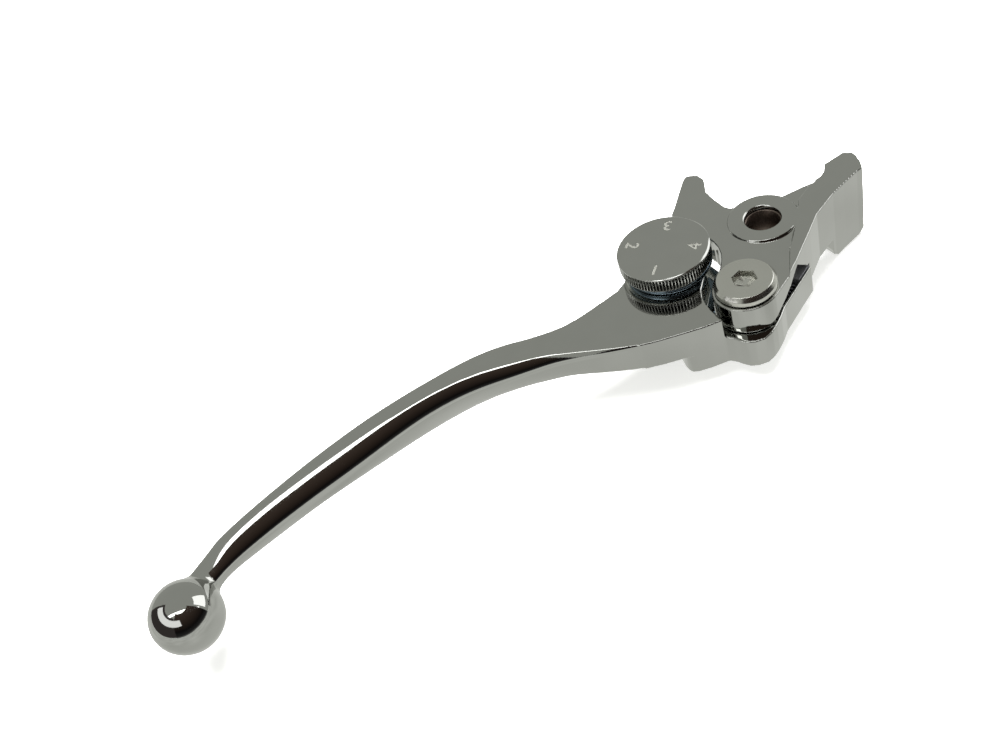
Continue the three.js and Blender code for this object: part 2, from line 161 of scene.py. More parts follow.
def tube(name, inner, outer, low, high, x, y, edge, segments=64):
    """A bush or washer with its edges broken."""
    profile = [
        (inner + edge, low), (outer - edge, low), (outer, low + edge), (outer, high - edge),
        (outer - edge, high), (inner + edge, high), (inner, high - edge), (inner, low + edge),
    ]
    bm = bmesh.new()
    rows = []
    for i in range(segments):
        angle = 2 * math.pi * i / segments
        c, s = math.cos(angle), math.sin(angle)
        rows.append([bm.verts.new((x + r * c, y + r * s, z)) for r, z in profile])
    count = len(profile)
    for k in range(segments):
        this, following = rows[k], rows[(k + 1) % segments]
        for i in range(count):
            j = (i + 1) % count
            bm.faces.new((this[i], this[j], following[j], following[i]))
    return object_from(name, bm)


def sweep(name, points, radius, sides=12):
    """A round wire along a line of points, with flat ends."""
    bm = bmesh.new()
    rings = []
    side = Vector((0, 0, 1))
    for i, point in enumerate(points):
        before, after = points[max(i - 1, 0)], points[min(i + 1, len(points) - 1)]
        along = (after - before).normalized()
        side = (side - along * side.dot(along)).normalized()
        other = along.cross(side)
        ring = []
        for k in range(sides):
            angle = 2 * math.pi * k / sides
            ring.append(point + (side * math.cos(angle) + other * math.sin(angle)) * radius)
        rings.append(ring)
    add_rings(bm, rings)
    return object_from(name, bm)


def only_in_reflections(made):
    made.visible_camera = False
    made.visible_diffuse = False
    made.visible_shadow = False


# ---- materials ------------------------------------------------------------------
LATHE_RING_DEPTH = 0.00001
GRAIN_DEPTH = 0.00002


def noise(tree, coordinates, scale, detail=3.0):
    node = tree.nodes.new("ShaderNodeTexNoise")
    node.inputs["Scale"].default_value = scale
    node.inputs["Detail"].default_value = detail
    tree.links.new(coordinates, node.inputs["Vector"])
    return node.outputs["Fac"]


def spread(tree, factor, low, high):
    node = tree.nodes.new("ShaderNodeMapRange")
    node.inputs["From Min"].default_value = 0.3
    node.inputs["From Max"].default_value = 0.7
    node.inputs["To Min"].default_value = low
    node.inputs["To Max"].default_value = high
    tree.links.new(factor, node.inputs["Value"])
    return node.outputs["Result"]


def metal(name, dark, light, rough, patch=180.0, grain=2600.0, bump=0.04):
    """A metal whose colour, gloss and surface vary in soft patches and a fine grain."""
    made = bpy.data.materials.new(name)
    made.use_nodes = True
    tree = made.node_tree
    shader = tree.nodes["Principled BSDF"]
    shader.inputs["Metallic"].default_value = 1.0
    place = tree.nodes.new("ShaderNodeTexCoord").outputs["Object"]
    mix = tree.nodes.new("ShaderNodeMix")
    mix.data_type = "RGBA"
    tree.links.new(noise(tree, place, patch), mix.inputs["Factor"])
    mix.inputs["A"].default_value = (*dark, 1)
    mix.inputs["B"].default_value = (*light, 1)
    tree.links.new(mix.outputs["Result"], shader.inputs["Base Color"])
    gloss = spread(tree, noise(tree, place, patch * 2.3), *rough)
    tree.links.new(gloss, shader.inputs["Roughness"])
    relief = tree.nodes.new("ShaderNodeBump")
    relief.inputs["Strength"].default_value = bump
    relief.inputs["Distance"].default_value = GRAIN_DEPTH
    tree.links.new(noise(tree, place, grain), relief.inputs["Height"])
    tree.links.new(relief.outputs["Normal"], shader.inputs["Normal"])
    return made


def turned_metal(name, dark, light, rough, x, y, pitch):
    """A metal with the fine rings that a lathe leaves about an upright axis."""
    made = metal(name, dark, light, rough)
    tree = made.node_tree
    place = tree.nodes.new("ShaderNodeTexCoord").outputs["Object"]
    shift = tree.nodes.new("ShaderNodeMapping")
    shift.inputs["Location"].default_value = (-x, -y, 0)
    tree.links.new(place, shift.inputs["Vector"])
    rings = tree.nodes.new("ShaderNodeTexWave")
    rings.wave_type = "RINGS"
    rings.rings_direction = "Z"
    rings.inputs["Scale"].default_value = 1 / pitch
    rings.inputs["Distortion"].default_value = 0.6
    tree.links.new(shift.outputs["Vector"], rings.inputs["Vector"])
    relief = tree.nodes.new("ShaderNodeBump")
    relief.inputs["Strength"].default_value = 0.25
    relief.inputs["Distance"].default_value = LATHE_RING_DEPTH
    tree.links.new(rings.outputs["Fac"], relief.inputs["Height"])
    shader = tree.nodes["Principled BSDF"]
    tree.links.new(relief.outputs["Normal"], shader.inputs["Normal"])
    return made


def scaled(tree, value, low, high):
    """0 below low, 1 above high."""
    node = tree.nodes.new("ShaderNodeMapRange")
    node.inputs["From Min"].default_value = low
    node.inputs["From Max"].default_value = high
    tree.links.new(value, node.inputs["Value"])
    return node.outputs["Result"]


def product(tree, *factors):
    total = factors[0]
    for factor in factors[1:]:
        node = tree.nodes.new("ShaderNodeMath")
        node.operation = "MULTIPLY"
        tree.links.new(total, node.inputs[0])
        tree.links.new(factor, node.inputs[1])
        total = node.outputs[0]
    return total


def inverse(tree, factor):
    node = tree.nodes.new("ShaderNodeMath")
    node.operation = "SUBTRACT"
    node.inputs[0].default_value = 1.0
    tree.links.new(factor, node.inputs[1])
    return node.outputs[0]


def tint(tree, socket, factor, colour):
    """Mixes a colour over whatever feeds the socket."""
    before = socket.links[0].from_socket
    mix = tree.nodes.new("ShaderNodeMix")
    mix.data_type = "RGBA"
    tree.links.new(factor, mix.inputs["Factor"])
    tree.links.new(before, mix.inputs["A"])
    mix.inputs["B"].default_value = (*colour, 1)
    tree.links.new(mix.outputs["Result"], socket)


def reach_from_axis(tree, place, x, y):
    """How far a point lies from the upright axis through x, y."""
    shift = tree.nodes.new("ShaderNodeVectorMath")
    shift.operation = "SUBTRACT"
    shift.inputs[1].default_value = (x, y, 0)
    tree.links.new(place, shift.inputs[0])
    flat = tree.nodes.new("ShaderNodeVectorMath")
    flat.operation = "MULTIPLY"
    flat.inputs[1].default_value = (1, 1, 0)
    tree.links.new(shift.outputs[0], flat.inputs[0])
    length = tree.nodes.new("ShaderNodeVectorMath")
    length.operation = "LENGTH"
    tree.links.new(flat.outputs[0], length.inputs[0])
    return length.outputs["Value"]


def dial_chrome():
    """Turned chrome with painted shade, near black, in the roots of the knurl and pale, dull floors in
    the digits.
    """
    made = turned_metal("turned_chrome", CHROME_DARK, CHROME_LIGHT, (0.05, 0.1), DIAL_X, DIAL_Y, 0.0004)
    tree = made.node_tree
    low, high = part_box("dial_cap")
    radius = (high.x - low.x) / 2
    place = tree.nodes.new("ShaderNodeTexCoord").outputs["Object"]
    split = tree.nodes.new("ShaderNodeSeparateXYZ")
    tree.links.new(place, split.inputs["Vector"])
    height = split.outputs["Z"]
    reach = reach_from_axis(tree, place, DIAL_X, DIAL_Y)
    shader = tree.nodes["Principled BSDF"]
    # Painted shade: the roots of the knurl are tinted near black, as if shade fell into them.
    painted_root_shade = product(
        tree,
        inverse(tree, scaled(tree, reach, radius - 0.3 * MM, radius - 0.1 * MM)),
        inverse(tree, scaled(tree, height, high.z - 0.62 * MM, high.z - 0.55 * MM)),
        scaled(tree, height, low.z + 0.25 * MM, low.z + 0.4 * MM),
    )
    tint(tree, shader.inputs["Base Color"], painted_root_shade, KNURL_ROOT_SHADE)
    digit = product(
        tree,
        inverse(tree, scaled(tree, height, high.z - 0.06 * MM, high.z - 0.03 * MM)),
        inverse(tree, scaled(tree, reach, radius - 0.9 * MM, radius - 0.8 * MM)),
    )
    tint(tree, shader.inputs["Base Color"], digit, DIGIT_PALE)
    tint(tree, shader.inputs["Roughness"], digit, DIGIT_ROUGHNESS)
    return made


CHROME_DARK = (0.42, 0.425, 0.405)
CHROME_LIGHT = (0.45, 0.455, 0.435)
# Near-black colour painted into the knurl's roots as shade.
KNURL_ROOT_SHADE = (0.02, 0.02, 0.02)
DIGIT_PALE = (0.95, 0.95, 0.9)
DIGIT_ROUGHNESS = (0.5, 0.5, 0.5)
CHROME = metal("polished_chrome", (0.425, 0.43, 0.41), (0.45, 0.455, 0.435), (0.035, 0.075))
DIAL_CHROME = dial_chrome()
NICKEL = turned_metal(
    "satin_nickel", (0.56, 0.56, 0.52), (0.62, 0.62, 0.58), (0.16, 0.24), HINGE_X, HINGE_Y, 0.0005
)
BLUE_ZINC = metal("blue_zinc", (0.12, 0.17, 0.22), (0.3, 0.38, 0.45), (0.16, 0.3), patch=260.0)
ZINC = metal("bright_zinc", (0.5, 0.52, 0.54), (0.62, 0.64, 0.66), (0.25, 0.4))
BRONZE = metal(
    "oiled_bronze", (0.13, 0.105, 0.09), (0.21, 0.17, 0.145), (0.3, 0.5), grain=4200.0, bump=0.3
)
SPRING_STEEL = metal("spring_steel", (0.05, 0.05, 0.055), (0.12, 0.12, 0.13), (0.25, 0.4))
BLACK_STEEL = metal("black_steel", (0.22, 0.222, 0.24), (0.27, 0.272, 0.3), (0.35, 0.5), bump=0.2)
BLACK_STEEL.node_tree.nodes["Principled BSDF"].inputs["Metallic"].default_value = 0.3


def finished(made, material, body, slot, *nodes):
    """Gives a piece its material and puts it on its body, in place of its CAD nodes."""
    made.data.materials.clear()
    made.data.materials.append(material)
    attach(made, body)
    if nodes:
        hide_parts(*nodes)
    return made


# ---- castings -------------------------------------------------------------------
def cad_copy(node):
    """The CAD node's skin as an open workpiece, with its split corners joined."""
    bm = bmesh.new()
    bm.from_mesh(NODES[node].data)
    bmesh.ops.remove_doubles(bm, verts=bm.verts, dist=0.002 * MM)
    return bm


def cast(made, voxel, rounds):
    """Turns overlapping closed skins into one even skin with soft edges."""
    remesh = made.modifiers.new("skin", "REMESH")
    remesh.mode = "VOXEL"
    remesh.voxel_size = voxel
    remesh.use_smooth_shade = True
    smooth = made.modifiers.new("polish", "SMOOTH")
    smooth.factor = 0.5
    smooth.iterations = rounds
    return apply_modifiers(made)


def blend_curve(values, t):
    """Smooth curve through evenly numbered values, at t counted in rows."""
    last = len(values) - 1
    i = max(0, min(int(t), last - 1))
    f = t - i
    p0, p1, p2, p3 = (values[max(0, min(last, k))] for k in (i - 1, i, i + 1, i + 2))
    square = 2 * p0 - 5 * p1 + 4 * p2 - p3
    cube = 3 * p1 - p0 - 3 * p2 + p3
    return 0.5 * (2 * p1 + (p2 - p0) * f + square * f * f + cube * f ** 3)


EASE_REACH = 0.9
EASE_STEPS = 4


def eased(values, t):
    """The curve averaged over nearly a row each way, which takes out its ripples."""
    last = len(values) - 1
    reach = min(EASE_REACH, t, last - t)
    samples = [
        blend_curve(values, t + reach * k / EASE_STEPS) for k in range(-EASE_STEPS, EASE_STEPS + 1)
    ]
    return sum(samples) / len(samples)


# Grip, in millimetres: x, front edge y, back edge y, top z, height and depth of the
# rounded front.
GRIP = [
    (-42.0, -12.35, 7.8, 11.5, 0.3, 0.15),
    (-46.0, -10.2, 7.7, 11.5, 0.9, 0.5),
    (-51.0, -7.0, 7.6, 11.5, 1.6, 1.0),
    (-55.0, -4.2, 7.9, 11.5, 2.3, 1.4),
    (-60.5, -0.4, 9.8, 11.5, 3.1, 2.0),
    (-65.0, 2.0, 12.2, 11.6, 3.7, 2.6),
    (-70.0, 3.9, 14.4, 11.7, 4.2, 3.2),
    (-76.0, 6.1, 15.7, 12.0, 5.0, 3.3),
    (-82.0, 7.8, 16.2, 12.3, 5.4, 3.2),
    (-90.0, 8.8, 16.5, 12.6, 5.7, 3.2),
    (-100.0, 9.0, 16.8, 12.7, 5.8, 3.6),
    (-110.0, 8.1, 16.3, 12.8, 5.8, 4.3),
    (-120.0, 7.8, 15.3, 12.7, 5.7, 5.1),
    (-130.0, 7.0, 13.9, 12.6, 5.6, 4.9),
    (-140.0, 5.7, 12.2, 12.3, 5.3, 4.7),
    (-147.0, 4.6, 11.0, 11.8, 4.8, 4.5),
    (-151.0, 3.7, 10.1, 11.2, 4.2, 4.3),
    (-154.0, 2.0, 9.2, 10.7, 3.7, 4.2),
    (-157.0, -0.6, 7.6, 10.8, 3.8, 4.2),
    (-160.0, -2.6, 5.6, 11.0, 4.0, 4.2),
]
BALL_X, BALL_Y, BALL_Z, BALL_RADIUS = -163.0, -0.9, 7.0, 8.5
PLATE_UNDER = 3.1
GRIP_START, GRIP_FULL = -58.0, 7.0
TAPER_START, TAPER_LENGTH = -90.0, 45.0
OPENING, OPENING_LOST = 60, 26
CORNER_LEAST, CORNER_GROWTH = 0.3, 0.8
FRONT_STEPS, CORNER_STEPS = 16, 6
RINGS_PER_ROW = 10


def smooth_share(x, start, length):
    """0 on the pivot side of start, 1 once length is passed towards the ball."""
    share = max(0.0, min(1.0, (start - x) / length))
    return share * share * (3 - 2 * share)


def grip_section(x, front, back, top, tall, deep):
    """A flat top and bottom, a rounded front and two eased back corners."""
    opening = math.radians(OPENING - OPENING_LOST * smooth_share(x, TAPER_START, TAPER_LENGTH))
    share = smooth_share(x, GRIP_START, GRIP_FULL)
    bottom = PLATE_UNDER + (2 * BALL_Z - top - PLATE_UNDER) * share
    tall = min(tall, (top - bottom) / 2 - 0.01)
    arc = []
    for i in range(FRONT_STEPS + 1):
        angle = opening * (1 - i / FRONT_STEPS)
        rise = tall * math.sin(angle) / math.sin(opening)
        inset = deep * (1 - math.cos(angle)) / (1 - math.cos(opening))
        arc.append((inset, rise))
    points = [(front + inset, top - tall + rise) for inset, rise in arc]
    points += [(front + inset, bottom + tall - rise) for inset, rise in reversed(arc)]
    ease = CORNER_LEAST + CORNER_GROWTH * share
    for centre_z, start in ((bottom + ease, -90), (top - ease, 0)):
        for i in range(CORNER_STEPS + 1):
            angle = math.radians(start + 90 * i / CORNER_STEPS)
            points.append((back - ease + ease * math.cos(angle), centre_z + ease * math.sin(angle)))
    return [(x * MM, y * MM, z * MM) for y, z in points]


def add_grip(bm):
    columns = list(zip(*GRIP))
    rings = []
    for i in range(RINGS_PER_ROW * (len(GRIP) - 1) + 1):
        t = i / RINGS_PER_ROW
        rings.append(grip_section(*(eased(column, t) for column in columns)))
    add_rings(bm, rings)


def add_ball(bm):
    made = bmesh.ops.create_icosphere(bm, subdivisions=6, radius=BALL_RADIUS * MM)
    bmesh.ops.translate(bm, verts=made["verts"], vec=Vector((BALL_X, BALL_Y, BALL_Z)) * MM)


def polish(made, name, rounds, weight_at):
    """Extra smoothing where weight_at, of x in millimetres, is above 0."""
    group = made.vertex_groups.new(name=name)
    for vertex in made.data.vertices:
        weight = max(0.0, min(1.0, weight_at(vertex.co.x / MM)))
        if weight > 0:
            group.add([vertex.index], weight, "REPLACE")
    smooth = made.modifiers.new(name, "SMOOTH")
    smooth.factor = 0.5
    smooth.iterations = rounds
    smooth.vertex_group = name
    apply_modifiers(made)
    made.vertex_groups.clear()


CAD_PLATE_END = -45 * MM
BLADE_VOXEL, KNOCKER_VOXEL = 0.24 * MM, 0.2 * MM
NECK_X = -156.5


def blade():
    """The CAD plate and leaf with a finer grip and ball, melted into one skin."""
    bm = cad_copy("blade")
    everything = bm.verts[:] + bm.edges[:] + bm.faces[:]
    trimmed = bmesh.ops.bisect_plane(
        bm, geom=everything, plane_co=(CAD_PLATE_END, 0, 0), plane_no=(-1, 0, 0), clear_outer=True
    )
    rim = [item for item in trimmed["geom_cut"] if isinstance(item, bmesh.types.BMEdge)]
    bmesh.ops.holes_fill(bm, edges=rim)
    bmesh.ops.triangulate(bm, faces=bm.faces)
    add_grip(bm)
    add_ball(bm)
    made = object_from("blade_casting", bm)
    cast(made, BLADE_VOXEL, 6)
    polish(made, "grip", 12, lambda x: (-50.0 - x) / 14.0)
    polish(made, "neck", 150, lambda x: 1.8 - abs(x - NECK_X) / 3.6)
    return finished(made, CHROME, "blade_body", "lever_chrome", "blade")


def knocker():
    made = object_from("knocker_casting", cad_copy("knocker"))
    cast(made, KNOCKER_VOXEL, 5)
    return finished(made, CHROME, "knocker_body", "lever_chrome", "knocker")


# ---- hinge bolt and its small parts ------------------------------------------------
SOCKET_TURN = math.radians(12)
SOCKET_HALF = 2.5 * MM
HEAD_TALL = 2.4 * MM
SHANK, THREAD = 4.0 * MM, 3.0 * MM
SHOULDER_Z = 6.0 * MM
HALF_CORNER = math.radians(30)


def bolt_profile(radius, low, top):
    """(radius, z) from the thread's tip up to the flat of the head."""
    under = top - HEAD_TALL
    stem = [
        (THREAD - 0.5 * MM, low), (THREAD, low + 0.5 * MM), (THREAD, SHOULDER_Z),
        (SHANK, SHOULDER_Z), (SHANK, under),
    ]
    lower_edge = [
        (radius - 0.25 * MM, under), (radius - 0.03 * MM, under + 0.2 * MM),
        (radius, under + 0.3 * MM),
    ]
    bevel = [
        (radius, top - 1.2 * MM), (radius - 0.03 * MM, top - 1.08 * MM),
        (radius - 0.12 * MM, top - 0.94 * MM), (radius - 0.74 * MM, top - 0.12 * MM),
        (radius - 0.82 * MM, top - 0.03 * MM), (radius - 0.92 * MM, top),
    ]
    return stem + lower_edge + bevel


def hex_socket(corner, top):
    """A cutter: drill point, six walls and a small lead-in."""
    steps = ((0.12, -2.5), (1.0, -1.9), (1.0, -0.16), (1.09, 0.1))
    bm = bmesh.new()
    rings = []
    for scale, rise in steps:
        across = corner * scale
        ring = []
        for i in range(6):
            angle = SOCKET_TURN + math.radians(60 * i)
            ring.append((
                HINGE_X + across * math.cos(angle), HINGE_Y + across * math.sin(angle),
                top + rise * MM,
            ))
        rings.append(ring)
    add_rings(bm, rings)
    return object_from("socket", bm, smooth=False)


def hinge_bolt():
    low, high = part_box("hinge_bolt")
    radius = (high.x - low.x) / 2
    profile = bolt_profile(radius, low.z, high.z)
    made = turned("hinge_bolt_turned", profile, HINGE_X, HINGE_Y, 128)
    corner = SOCKET_HALF / math.cos(HALF_CORNER)
    boolean(made, hex_socket(corner, high.z))
    axis = Vector((HINGE_X, HINGE_Y, 0))
    for face in made.data.polygons:
        away = (Vector((face.center.x, face.center.y, 0)) - axis).length
        outside = away > corner * 1.1 or face.center.z < SHOULDER_Z
        face.use_smooth = outside and not is_level(face)
    return finished(made, NICKEL, "blade_body", "satin_nickel", "hinge_bolt")


def hinge_nut():
    low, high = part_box("hinge_nut")
    corner = (high.y - low.y) / 2 / math.cos(HALF_CORNER)
    edge = 0.5 * MM
    sides = [(corner, low.z), (corner, high.z)]
    made = turned("hinge_nut_chamfered", sides, HINGE_X, HINGE_Y, 6)
    cone = corner + 0.05 * MM
    chamfer = turned("chamfer", [
        (cone - edge * 1.6, low.z - 0.01 * MM), (cone, low.z + edge),
        (cone, high.z - edge), (cone - edge * 1.6, high.z + 0.01 * MM),
    ], HINGE_X, HINGE_Y, 64)
    boolean(made, chamfer, "INTERSECT")
    bore = THREAD + 0.1 * MM
    hole = turned("hole", [(bore, low.z - MM), (bore, high.z + MM)], HINGE_X, HINGE_Y, 64)
    boolean(made, hole)
    for face in made.data.polygons:
        face.use_smooth = False
    return finished(made, ZINC, "blade_body", "zinc_steel", "hinge_nut")


COLLAR_INNER = 4.0 * MM


def pivot_collar():
    low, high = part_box("pivot_collar")
    outer = (high.x - low.x) / 2
    made = tube("pivot_collar_turned", COLLAR_INNER, outer, low.z, high.z, 0, 0, 0.25 * MM)
    return finished(made, BRONZE, "perch_side", "bronze", "pivot_collar")


# ---- reach spring and plunger --------------------------------------------------------
TONGUE_END = Vector((1.9, -14.3, 0)) * MM
TONGUE_BEARING = math.radians(23.6)
GROOVE_INSET = 2.05 * MM


def tongue_point(along, across, z):
    c, s = math.cos(TONGUE_BEARING), math.sin(TONGUE_BEARING)
    return TONGUE_END + Vector((along * c - across * s, along * s + across * c, z))


COIL_RADIUS, COIL_WIRE, COIL_TURNS = 1.2 * MM, 0.28 * MM, 7
COIL_START, COIL_LENGTH = -13.64 * MM, 7.6 * MM
COIL_STEPS = 24


def reach_spring():
    low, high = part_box("reach_spring")
    middle = (low.z + high.z) / 2
    points = []
    count = COIL_TURNS * COIL_STEPS
    for i in range(count + 1):
        angle = 2 * math.pi * i / COIL_STEPS
        along = COIL_START + COIL_LENGTH * i / count
        across = GROOVE_INSET + COIL_RADIUS * math.cos(angle)
        points.append(tongue_point(along, across, middle + COIL_RADIUS * math.sin(angle)))
    made = sweep("reach_spring_coil", points, COIL_WIRE)
    return finished(made, SPRING_STEEL, "blade_body", "spring_steel", "reach_spring")


PLUNGER_LENGTH, PLUNGER_HALF = 5.2 * MM, 1.4 * MM


def spring_plunger():
    low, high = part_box("spring_plunger")
    bm = bmesh.new()
    rings = []
    for z in (low.z, high.z):
        near, far = GROOVE_INSET - PLUNGER_HALF, GROOVE_INSET + PLUNGER_HALF
        corners = ((-PLUNGER_LENGTH, near), (0, near), (0, far), (-PLUNGER_LENGTH, far))
        rings.append([tongue_point(along, across, z) for along, across in corners])
    add_rings(bm, rings)
    made = object_from("spring_plunger_block", bm)
    soften(made, 0.25 * MM, 3)
    return finished(made, BLACK_STEEL, "plunger_body", "black_steel", "spring_plunger")


# ---- dial ------------------------------------------------------------------------
DIGIT_SIZE, DIGIT_DEPTH, DIGIT_SWELL = 4.6 * MM, 0.09 * MM, 0.06 * MM
DIGIT_REACH = 7.9 * MM
DIGIT_BEARINGS = {"1": 220, "2": 127, "3": 45, "4": 315}
KNURL_DEPTH = 0.42 * MM


def numeral(text, bearing, top):
    """A digit as a cutter, its head towards the dial's axis."""
    curve = bpy.data.curves.new("digit", "FONT")
    curve.body = text
    curve.size = DIGIT_SIZE
    curve.extrude = DIGIT_DEPTH
    curve.offset = DIGIT_SWELL
    curve.align_x = "CENTER"
    curve.align_y = "CENTER"
    curve.resolution_u = 6
    made = bpy.data.objects.new("digit", curve)
    bpy.context.scene.collection.objects.link(made)
    angle = math.radians(bearing)
    x, y = DIGIT_REACH * math.cos(angle), DIGIT_REACH * math.sin(angle)
    made.location = (DIAL_X + x, DIAL_Y + y, top)
    made.rotation_euler = (0, 0, angle + math.radians(90))
    bpy.context.view_layer.update()
    graph = bpy.context.evaluated_depsgraph_get()
    mesh = bpy.data.meshes.new_from_object(made.evaluated_get(graph), depsgraph=graph)
    mesh.transform(made.matrix_world)
    bpy.data.objects.remove(made)
    return new_object("digit", mesh)


def cap_profile(radius, low, high):
    """(radius, z) from the underside up: a lead-in, the knurled band and a chamfer."""
    band_low = [
        (radius - 0.6 * MM, low), (radius - 0.3 * MM, low + 0.06 * MM),
        (radius - 0.16 * MM, low + 0.2 * MM), (radius - 0.14 * MM, low + 0.29 * MM),
        (radius, low + 0.4 * MM),
    ]
    band_high = [
        (radius, high - 0.7 * MM), (radius, high - 0.58 * MM), (radius, high - 0.36 * MM),
    ]
    chamfer = [
        (radius - 0.03 * MM, high - 0.3 * MM), (radius - 0.08 * MM, high - 0.255 * MM),
        (radius - 0.44 * MM, high - 0.015 * MM), (radius - 0.5 * MM, high),
    ]
    return band_low + band_high + chamfer


def dial_cap():
    low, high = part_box("dial_cap")
    radius = (high.x - low.x) / 2
    knurl_low, knurl_high = low.z + 0.3 * MM, high.z - 0.6 * MM

    def knurled(r, z, angle):
        if not knurl_low < z < knurl_high:
            return r
        wave = 0.5 - 0.5 * math.cos(angle * KNURLS)
        return r - KNURL_DEPTH * wave

    profile = cap_profile(radius, low.z, high.z)
    made = turned("dial_cap_knurled", profile, DIAL_X, DIAL_Y, KNURLS * 8, knurled)
    for text, bearing in DIGIT_BEARINGS.items():
        boolean(made, numeral(text, bearing, high.z), crossing=True)
    flatten_ends(made)
    return finished(made, DIAL_CHROME, "dial_body", "lever_chrome", "dial_cap")


CAM_FULL, CAM_LEAST = 11.4 * MM, 9.6 * MM
CAM_TRAVEL = math.radians(270)
CAM_BULGE = 0.55 * MM


def cam_radius(angle):
    """Full radius at bearing 0, falling as the bearing goes clockwise."""
    turn = (2 * math.pi - angle) % (2 * math.pi)
    fall = CAM_FULL - CAM_LEAST
    if turn <= CAM_TRAVEL:
        return CAM_FULL - fall * turn / CAM_TRAVEL
    return CAM_LEAST + fall * (turn - CAM_TRAVEL) / (2 * math.pi - CAM_TRAVEL)


def dial_cam():
    low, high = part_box("dial_cam")
    half = (high.z - low.z) / 2
    middle = (high.z + low.z) / 2
    profile = []
    for i in range(13):
        angle = math.radians(-90 + 180 * i / 12)
        profile.append((CAM_BULGE * (math.cos(angle) - 1), middle + half * math.sin(angle)))

    def rim(inset, z, angle):
        return cam_radius(angle) + inset

    made = turned("dial_cam_plate", profile, DIAL_X, DIAL_Y, 180, rim)
    flatten_ends(made)
    return finished(made, BLUE_ZINC, "dial_body", "blue_zinc", "dial_cam")


SPINDLE_GROOVE = 2.3 * MM
SPINDLE_GROOVE_LOW, SPINDLE_GROOVE_HIGH = 1.25 * MM, 2.15 * MM
WASHER_BORE = 3.3 * MM


def dial_spindle():
    low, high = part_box("dial_spindle")
    radius = (high.x - low.x) / 2
    neck = radius - 0.4 * MM
    end = 0.35 * MM
    made = turned("dial_spindle_turned", [
        (neck - end, low.z), (neck, low.z + end), (neck, SPINDLE_GROOVE_LOW),
        (SPINDLE_GROOVE, SPINDLE_GROOVE_LOW), (SPINDLE_GROOVE, SPINDLE_GROOVE_HIGH),
        (radius, SPINDLE_GROOVE_HIGH), (radius, high.z),
    ], DIAL_X, DIAL_Y, 64)
    flatten_ends(made)
    return finished(made, BLUE_ZINC, "dial_body", "blue_zinc", "dial_spindle")


def dial_spring_washer():
    low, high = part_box("dial_spring_washer")
    outer = (high.x - low.x) / 2
    made = tube(
        "dial_spring_washer_pressed", WASHER_BORE, outer, low.z, high.z, DIAL_X, DIAL_Y, 0.12 * MM
    )
    return finished(made, SPRING_STEEL, "blade_body", "spring_steel", "dial_spring_washer")


# ---- parts that keep their CAD shape --------------------------------------------------
def carried_over():
    """Small pieces inside the assembly, which only need their metals."""
    metals = {
        "hinge_bush": BRONZE, "dial_bush": BRONZE, "dial_dowel": ZINC, "dial_clip": SPRING_STEEL,
        "detent_ball": ZINC, "detent_spring": SPRING_STEEL,
    }
    for name, material in metals.items():
        NODES[name].data.materials.clear()
        NODES[name].data.materials.append(material)


# ---- studio ------------------------------------------------------------------------
CAMERA_BEARING = -102.2
CARD_RADIUS = 0.9
LEVER_MIDDLE = (-0.07, 0.0)
LAMP_ELEVATION = 69.8
LAMP_LEFT, LAMP_RIGHT, LAMP_HALF = -1.1, 1.5, 0.058
APRON_LIFT = 0.1 * MM
FLOOR_GAP = 0.2 * MM
WHITE = (1.0, 1.0, 1.0)


def emitter(name, colour, strength):
    made = bpy.data.materials.new(name)
    made.use_nodes = True
    tree = made.node_tree
    tree.nodes.clear()
    glow = tree.nodes.new("ShaderNodeEmission")
    glow.inputs["Color"].default_value = (*colour, 1)
    glow.inputs["Strength"].default_value = strength
    out = tree.nodes.new("ShaderNodeOutputMaterial")
    tree.links.new(glow.outputs["Emission"], out.inputs["Surface"])
    return made


def reflected_card(name, material, azimuths, elevations, radius=CARD_RADIUS, centre=LEVER_MIDDLE):
    """A curved card that shows only in reflections. Azimuths are from the camera's bearing."""
    bm = bmesh.new()
    rows = []
    across, up = 24, 12
    first, last = CAMERA_BEARING + azimuths[0], CAMERA_BEARING + azimuths[1]
    for j in range(up + 1):
        elevation = math.radians(elevations[0] + (elevations[1] - elevations[0]) * j / up)
        flat = radius * math.cos(elevation)
        row = []
        for i in range(across + 1):
            azimuth = math.radians(first + (last - first) * i / across)
            row.append(bm.verts.new((
                centre[0] + flat * math.cos(azimuth), centre[1] + flat * math.sin(azimuth),
                radius * math.sin(elevation)
            )))
        rows.append(row)
    for lower, upper in zip(rows, rows[1:]):
        for i in range(across):
            bm.faces.new((lower[i], lower[i + 1], upper[i + 1], upper[i]))
    made = object_from(name, bm)
    made.data.materials.append(material)
    only_in_reflections(made)


def lamp_strip(material):
    """A long straight lamp over the camera, along the picture's width."""
    bearing, height = math.radians(CAMERA_BEARING), math.radians(LAMP_ELEVATION)
    flat = math.cos(height)
    out = Vector((math.cos(bearing) * flat, math.sin(bearing) * flat, math.sin(height)))
    side = Vector((-math.sin(bearing), math.cos(bearing), 0))
    across = out.cross(side)
    middle = Vector((*LEVER_MIDDLE, 0)) + out * CARD_RADIUS
    corners = (
        (LAMP_LEFT, -LAMP_HALF), (LAMP_RIGHT, -LAMP_HALF),
        (LAMP_RIGHT, LAMP_HALF), (LAMP_LEFT, LAMP_HALF),
    )
    bm = bmesh.new()
    bm.faces.new([bm.verts.new(middle + side * a + across * b) for a, b in corners])
    made = object_from("lamp_strip", bm)
    made.data.materials.append(material)
    only_in_reflections(made)


